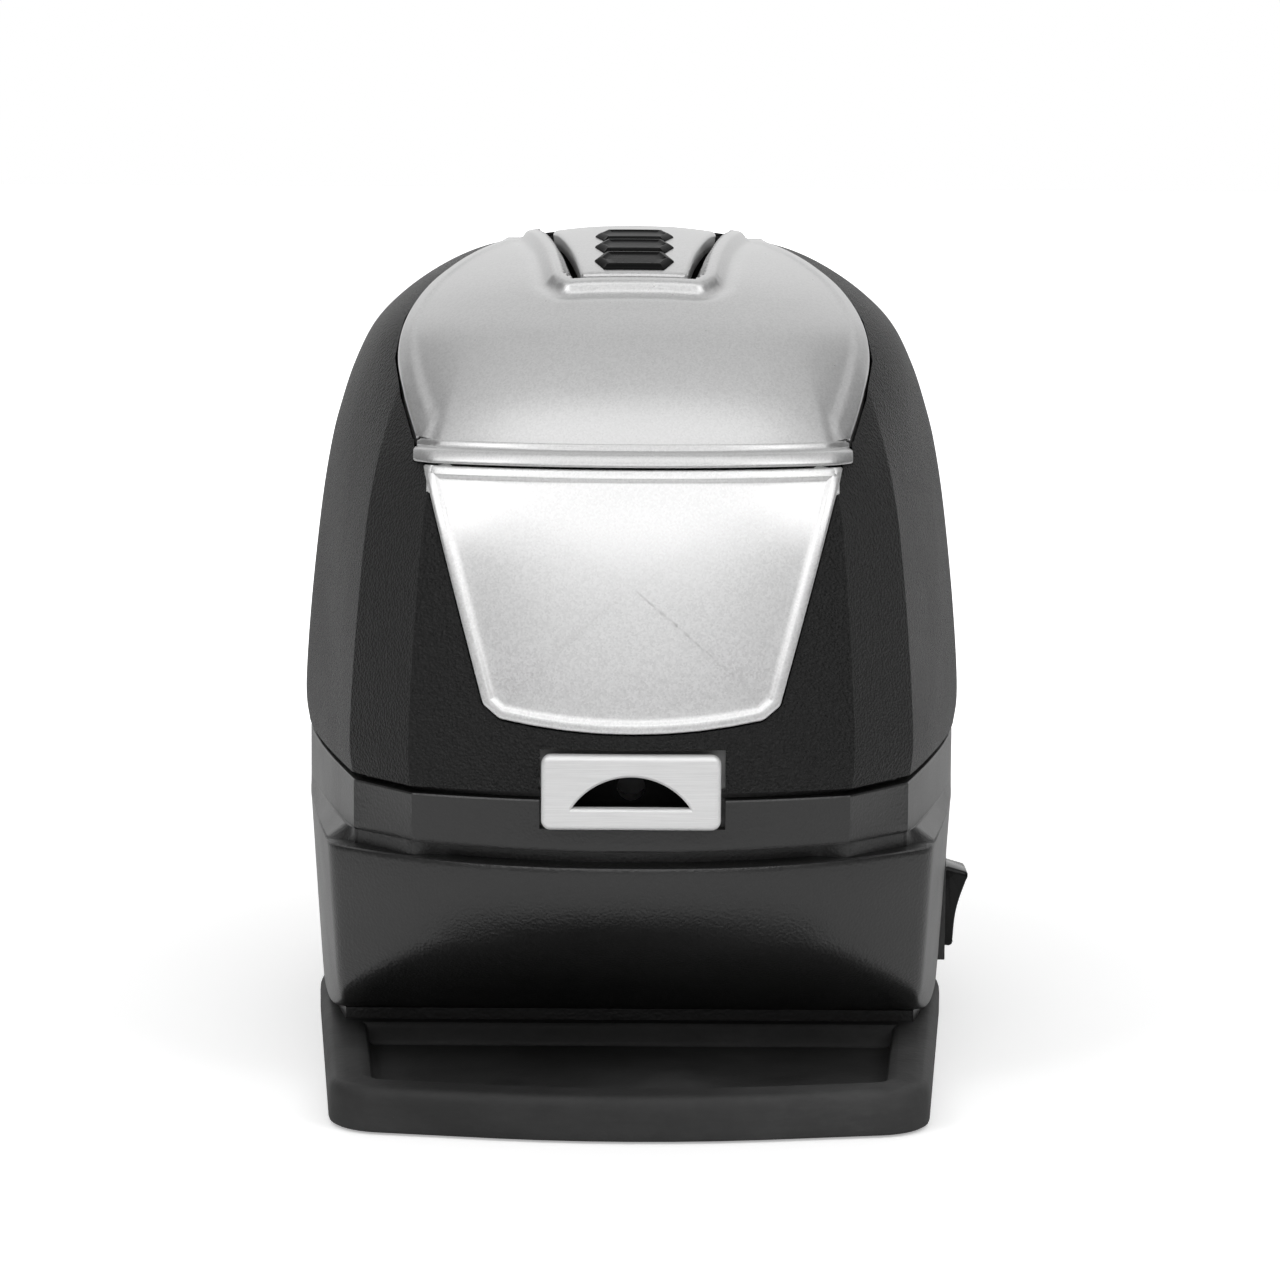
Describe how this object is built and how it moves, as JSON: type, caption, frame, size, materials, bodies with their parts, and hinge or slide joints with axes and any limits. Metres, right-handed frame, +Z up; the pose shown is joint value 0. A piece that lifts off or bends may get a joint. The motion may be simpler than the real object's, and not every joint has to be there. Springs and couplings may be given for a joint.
{
  "type": "hot lather machine",
  "caption": "Tabletop hot lather machine with a hinged tank lid, top push button, foam nozzle, side rocker switch and rubber drip base.",
  "frame": {"origin": "centre of the flat ground plane under the body, on the symmetry plane", "axes": "+Z up, front (nozzle) towards -Y, +X to the viewer's right where the rocker switch is"},
  "size_m": [0.1536, 0.228, 0.1846],
  "materials": {
    "black_textured_plastic": "matte",
    "black_smooth_plastic": "satin",
    "silver_painted_plastic": "satin",
    "black_gloss_plastic": "gloss",
    "rubber": "matte",
    "brushed_steel": "brushed",
    "aluminium": "satin",
    "zinc_steel": "satin",
    "brass": "satin",
    "clear_grey_plastic": "satin",
    "circuit_board": "satin",
    "spring_steel": "satin"
  },
  "bodies": {
    "housing": {"base_tray": "rubber", "rubber_feet": "rubber", "bottom_cover": "black_smooth_plastic", "cover_screws": "zinc_steel", "lower_housing": "black_smooth_plastic", "upper_housing": "black_textured_plastic", "front_panel": "silver_painted_plastic", "nozzle_plate": "brushed_steel", "nozzle_insert": "black_smooth_plastic", "heater_block": "aluminium", "heater_cartridges": "zinc_steel", "thermostat": "zinc_steel", "whipping_chamber": "aluminium", "chamber_bracket": "zinc_steel", "chamber_screws": "zinc_steel", "shaft_seal": "rubber", "liquid_tank": "clear_grey_plastic", "tank_gasket": "rubber", "feed_tube": "clear_grey_plastic", "tank_supports": "black_smooth_plastic", "motor": "zinc_steel", "motor_bracket": "zinc_steel", "motor_screws": "zinc_steel", "button_frame": "black_smooth_plastic", "button_springs": "spring_steel", "microswitch": "black_smooth_plastic", "hinge_lugs": "black_textured_plastic", "hinge_pins": "zinc_steel", "rocker_frame": "black_smooth_plastic", "power_inlet": "black_smooth_plastic", "inlet_pins": "brass", "control_board": "circuit_board", "board_standoffs": "zinc_steel", "terminal_block": "circuit_board"},
    "lid_body": {"lid": "silver_painted_plastic", "lid_lip": "silver_painted_plastic"},
    "button_body": {"push_button": "silver_painted_plastic", "button_grips": "black_gloss_plastic"},
    "plunger_body": {"switch_plunger": "clear_grey_plastic"},
    "rocker_body": {"rocker": "black_gloss_plastic"},
    "whipper_body": {"drive_shaft": "zinc_steel", "shaft_coupling": "brass", "whipper": "aluminium"}
  },
  "joints": [
    {"name": "lid_hinge", "type": "hinge", "parent": "housing", "child": "lid_body", "pos_m": [0, 0.006, 0.1785], "axis": [-1, 0, 0], "range_deg": [0, 80]},
    {"name": "button_press", "type": "slide", "parent": "housing", "child": "button_body", "axis": [0, 0, -1], "range_m": [0, 0.0025], "stiffness_N_per_m": 600, "deforming": ["button_springs"]},
    {"name": "plunger_press", "type": "slide", "parent": "housing", "child": "plunger_body", "axis": [0, 0, -1], "range_m": [0, 0.0025]},
    {"name": "rocker_tilt", "type": "hinge", "parent": "housing", "child": "rocker_body", "pos_m": [0.0716, 0, 0.0283], "axis": [0, 1, 0], "range_deg": [-24, 0]},
    {"name": "whipper_spin", "type": "hinge", "parent": "housing", "child": "whipper_body", "pos_m": [0, -0.05, 0.0714], "axis": [0, 1, 0], "continuous": true}
  ],
  "couplings": [
    {"joint": "plunger_press", "follows": "button_press", "ratio": 1}
  ]
}
